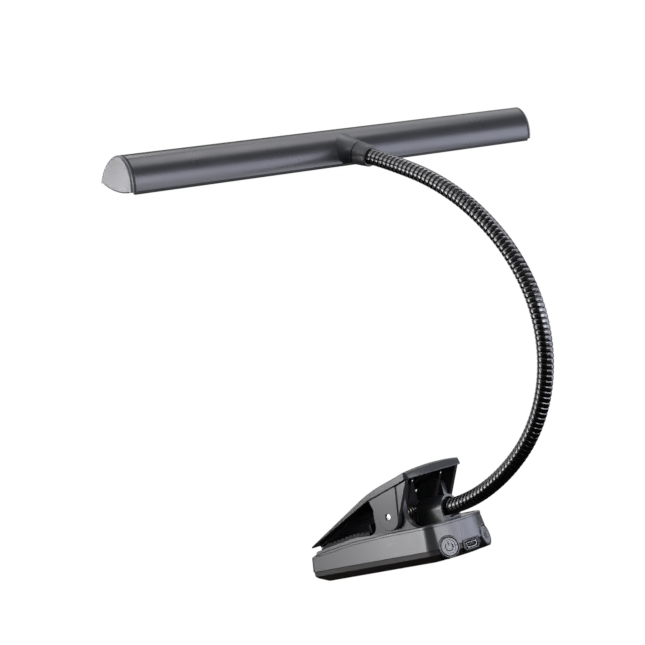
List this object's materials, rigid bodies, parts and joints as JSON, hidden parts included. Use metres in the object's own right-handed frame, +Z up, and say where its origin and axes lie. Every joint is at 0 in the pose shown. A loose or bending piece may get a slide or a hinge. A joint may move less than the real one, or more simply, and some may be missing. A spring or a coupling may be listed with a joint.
{
  "type": "music stand lamp",
  "caption": "Clip-on lamp: a long arched bar of light on a ribbed gooseneck that rises from a battery base with a sprung clip and two buttons.",
  "frame": {"origin": "middle of the base's flat underside", "axes": "+Z up from the table, +Y from the jaw to the button end, X along the light bar"},
  "size_m": [0.29, 0.1729, 0.2202],
  "materials": {
    "shell_plastic": "satin graphite moulding",
    "bottom_plastic": "satin dark moulding",
    "grip_rubber": "moulded rubber",
    "pin_steel": "bright nickel",
    "spring_steel": "bright spring wire",
    "cell_foil": "foil pouch",
    "board_laminate": "solder mask",
    "socket_steel": "tinned sheet",
    "switch_plastic": "moulded",
    "screw_steel": "black oxide",
    "fitting_steel": "turned steel",
    "button_plastic": "satin moulding",
    "neck_steel": "black chrome over wound steel",
    "cable_jacket": "soft jacket",
    "collar_plastic": "satin gloss moulding",
    "bar_plastic": "satin anthracite moulding",
    "lens_plastic": "milky diffuser",
    "strip_aluminium": "white mask on aluminium",
    "chip_resin": "phosphor resin",
    "cap_plastic": "fine textured moulding"
  },
  "bodies": {
    "base": {"base_shell": "shell_plastic", "base_bottom_cover": "bottom_plastic", "base_top_cover": "shell_plastic", "lower_jaw_pad": "grip_rubber", "pivot_pin": "pin_steel", "clip_spring": "spring_steel", "battery_cell": "cell_foil", "main_board": "board_laminate", "usb_socket": "socket_steel", "tactile_switches": "switch_plastic", "base_screws": "screw_steel", "neck_ferrule_lower": "fitting_steel", "neck_set_screw": "screw_steel", "neck_section_1": "neck_steel", "neck_cable_1": "cable_jacket"},
    "clip": {"clip_lever": "shell_plastic", "upper_jaw_pad": "grip_rubber"},
    "power_key": {"power_button": "button_plastic"},
    "brightness_key": {"brightness_button": "button_plastic"},
    "neck_2": {"neck_section_2": "neck_steel", "neck_cable_2": "cable_jacket"},
    "neck_3": {"neck_section_3": "neck_steel", "neck_cable_3": "cable_jacket"},
    "neck_4": {"neck_section_4": "neck_steel", "neck_cable_4": "cable_jacket"},
    "neck_5": {"neck_section_5": "neck_steel", "neck_cable_5": "cable_jacket"},
    "neck_6": {"neck_section_6": "neck_steel", "neck_cable_6": "cable_jacket"},
    "neck_7": {"neck_section_7": "neck_steel", "neck_cable_7": "cable_jacket"},
    "neck_8": {"neck_section_8": "neck_steel", "neck_cable_8": "cable_jacket"},
    "head": {"neck_section_9": "neck_steel", "neck_cable_9": "cable_jacket", "neck_ferrule_upper": "fitting_steel", "head_collar": "collar_plastic", "bar_housing": "bar_plastic", "bar_lens": "lens_plastic", "led_board": "strip_aluminium", "led_chips": "chip_resin", "end_cap_left": "cap_plastic", "end_cap_right": "cap_plastic"}
  },
  "joints": [
    {"name": "clip_hinge", "type": "hinge", "parent": "base", "child": "clip", "pos_m": [0, 0.0147, 0.026], "axis": [-1, 0, 0], "range_deg": [0, 24], "stiffness_Nm_per_rad": 0.6, "springref_deg": -45.84, "deforming": ["clip_spring"]},
    {"name": "power_press", "type": "slide", "parent": "base", "child": "power_key", "axis": [-0.3596, -0.9227, -0.1392], "range_m": [0, 0.0005], "stiffness_N_per_m": 1500, "springref_m": -0.0004},
    {"name": "brightness_press", "type": "slide", "parent": "base", "child": "brightness_key", "axis": [0.3596, -0.9227, -0.1392], "range_m": [0, 0.0005], "stiffness_N_per_m": 1500, "springref_m": -0.0004},
    {"name": "neck_bend_1", "type": "hinge", "parent": "base", "child": "neck_2", "pos_m": [0, 0.06386, 0.02883], "axis": [1, 0, 0], "range_deg": [-14, 14]},
    {"name": "neck_sway_2", "type": "hinge", "parent": "neck_2", "child": "neck_3", "pos_m": [0, 0.09005, 0.042], "axis": [0, -0.565, 0.8251], "range_deg": [-14, 14]},
    {"name": "neck_bend_3", "type": "hinge", "parent": "neck_3", "child": "neck_4", "pos_m": [0, 0.11057, 0.06281], "axis": [1, 0, 0], "range_deg": [-14, 14]},
    {"name": "neck_sway_4", "type": "hinge", "parent": "neck_4", "child": "neck_5", "pos_m": [0, 0.12151, 0.08988], "axis": [0, -0.9836, 0.1805], "range_deg": [-14, 14]},
    {"name": "neck_bend_5", "type": "hinge", "parent": "neck_5", "child": "neck_6", "pos_m": [0, 0.12084, 0.11907], "axis": [1, 0, 0], "range_deg": [-14, 14]},
    {"name": "neck_sway_6", "type": "hinge", "parent": "neck_6", "child": "neck_7", "pos_m": [0, 0.10988, 0.14622], "axis": [0, -0.8572, -0.515], "range_deg": [-14, 14]},
    {"name": "neck_bend_7", "type": "hinge", "parent": "neck_7", "child": "neck_8", "pos_m": [0, 0.09172, 0.16924], "axis": [1, 0, 0], "range_deg": [-14, 14]},
    {"name": "neck_sway_8", "type": "hinge", "parent": "neck_8", "child": "head", "pos_m": [0, 0.0686, 0.1873], "axis": [0, -0.5225, -0.8526], "range_deg": [-14, 14]}
  ]
}
